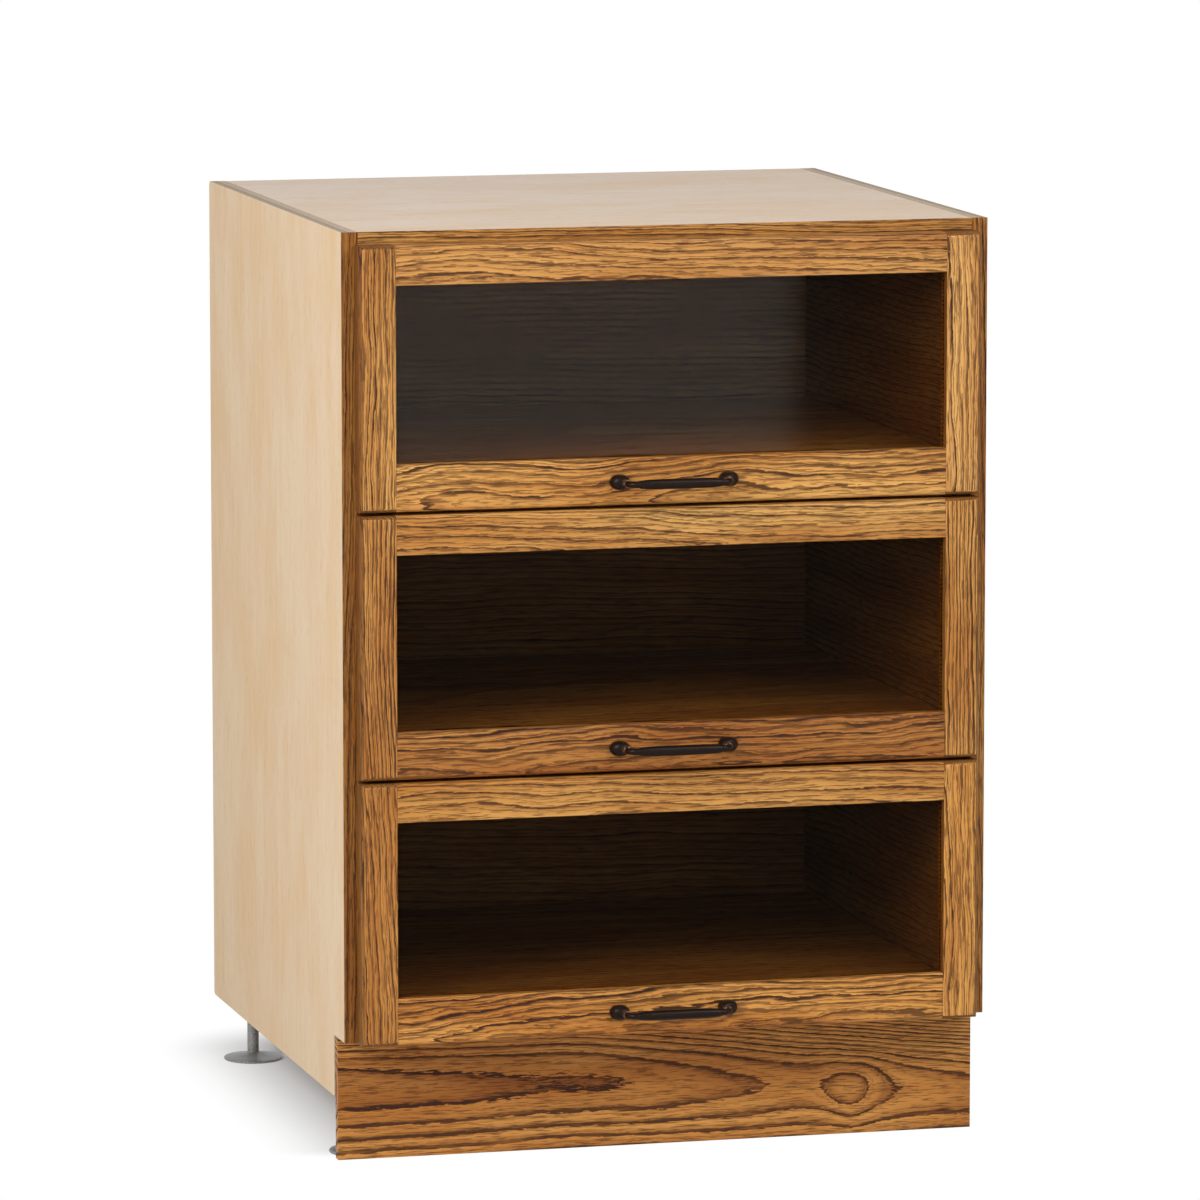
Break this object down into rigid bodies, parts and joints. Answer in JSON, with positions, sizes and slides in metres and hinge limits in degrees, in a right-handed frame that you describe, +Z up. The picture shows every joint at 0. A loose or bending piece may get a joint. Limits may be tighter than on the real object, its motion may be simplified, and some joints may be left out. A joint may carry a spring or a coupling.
{
  "type": "drawer base cabinet",
  "caption": "Kitchen base cabinet in birch with full-width, oak-framed glass drawer fronts on telescopic slides, dark bow handles, a set-back plinth and levelling feet.",
  "frame": {"origin": "on the floor, below the middle of the overall box", "axes": "+Z up from the floor, -Y out of the drawer fronts, +X to the right of someone facing them"},
  "size_m": [0.6, 0.6168, 0.846],
  "materials": {
    "birch": "clear matt varnish",
    "oak": "brushed and oiled",
    "oak_dark": "oiled",
    "glass": "clear float glass",
    "bronze": "oil-rubbed bronze",
    "zinc_steel": "zinc plated",
    "leg_steel": "grey painted",
    "clip_plastic": "moulded"
  },
  "bodies": {
    "cabinet": {"side_panel_left": "birch", "side_panel_right": "birch", "top_panel": "birch", "bottom_panel": "birch", "back_panel": "birch", "carcass_tongues": "birch", "front_edge_left": "oak", "front_edge_right": "oak", "front_edge_top": "oak", "plinth_board": "oak_dark", "plinth_clips": "clip_plastic", "leg_sockets": "leg_steel", "slide_channels": "zinc_steel"},
    "front_left_foot": {"foot_front_left": "leg_steel"},
    "front_right_foot": {"foot_front_right": "leg_steel"},
    "rear_left_foot": {"foot_rear_left": "leg_steel"},
    "rear_right_foot": {"foot_rear_right": "leg_steel"},
    "lower_drawer": {"lower_stile_left": "oak", "lower_stile_right": "oak", "lower_rail_top": "oak", "lower_rail_bottom": "oak", "lower_glazing_beads": "oak", "lower_box_side_left": "oak", "lower_box_side_right": "oak", "lower_box_back": "oak", "lower_box_floor": "oak", "lower_glass": "glass", "lower_handle": "bronze", "lower_slide_rails": "zinc_steel"},
    "lower_links": {"lower_slide_links": "zinc_steel"},
    "middle_drawer": {"middle_stile_left": "oak", "middle_stile_right": "oak", "middle_rail_top": "oak", "middle_rail_bottom": "oak", "middle_glazing_beads": "oak", "middle_box_side_left": "oak", "middle_box_side_right": "oak", "middle_box_back": "oak", "middle_box_floor": "oak", "middle_glass": "glass", "middle_handle": "bronze", "middle_slide_rails": "zinc_steel"},
    "middle_links": {"middle_slide_links": "zinc_steel"},
    "upper_drawer": {"upper_stile_left": "oak", "upper_stile_right": "oak", "upper_rail_top": "oak", "upper_rail_bottom": "oak", "upper_glazing_beads": "oak", "upper_box_side_left": "oak", "upper_box_side_right": "oak", "upper_box_back": "oak", "upper_box_floor": "oak", "upper_glass": "glass", "upper_handle": "bronze", "upper_slide_rails": "zinc_steel"},
    "upper_links": {"upper_slide_links": "zinc_steel"}
  },
  "joints": [
    {"name": "lower_drawer_slide", "type": "slide", "parent": "cabinet", "child": "lower_drawer", "axis": [0, -1, 0], "range_m": [0, 0.44]},
    {"name": "lower_links_slide", "type": "slide", "parent": "cabinet", "child": "lower_links", "axis": [0, -1, 0], "range_m": [0, 0.22]},
    {"name": "middle_drawer_slide", "type": "slide", "parent": "cabinet", "child": "middle_drawer", "axis": [0, -1, 0], "range_m": [0, 0.44]},
    {"name": "middle_links_slide", "type": "slide", "parent": "cabinet", "child": "middle_links", "axis": [0, -1, 0], "range_m": [0, 0.22]},
    {"name": "upper_drawer_slide", "type": "slide", "parent": "cabinet", "child": "upper_drawer", "axis": [0, -1, 0], "range_m": [0, 0.44]},
    {"name": "upper_links_slide", "type": "slide", "parent": "cabinet", "child": "upper_links", "axis": [0, -1, 0], "range_m": [0, 0.22]},
    {"name": "front_left_foot_height", "type": "slide", "parent": "cabinet", "child": "front_left_foot", "axis": [0, 0, -1], "range_m": [0, 0.02]},
    {"name": "front_right_foot_height", "type": "slide", "parent": "cabinet", "child": "front_right_foot", "axis": [0, 0, -1], "range_m": [0, 0.02]},
    {"name": "rear_left_foot_height", "type": "slide", "parent": "cabinet", "child": "rear_left_foot", "axis": [0, 0, -1], "range_m": [0, 0.02]},
    {"name": "rear_right_foot_height", "type": "slide", "parent": "cabinet", "child": "rear_right_foot", "axis": [0, 0, -1], "range_m": [0, 0.02]}
  ],
  "couplings": [
    {"joint": "lower_links_slide", "follows": "lower_drawer_slide", "ratio": 0.5},
    {"joint": "middle_links_slide", "follows": "middle_drawer_slide", "ratio": 0.5},
    {"joint": "upper_links_slide", "follows": "upper_drawer_slide", "ratio": 0.5}
  ]
}
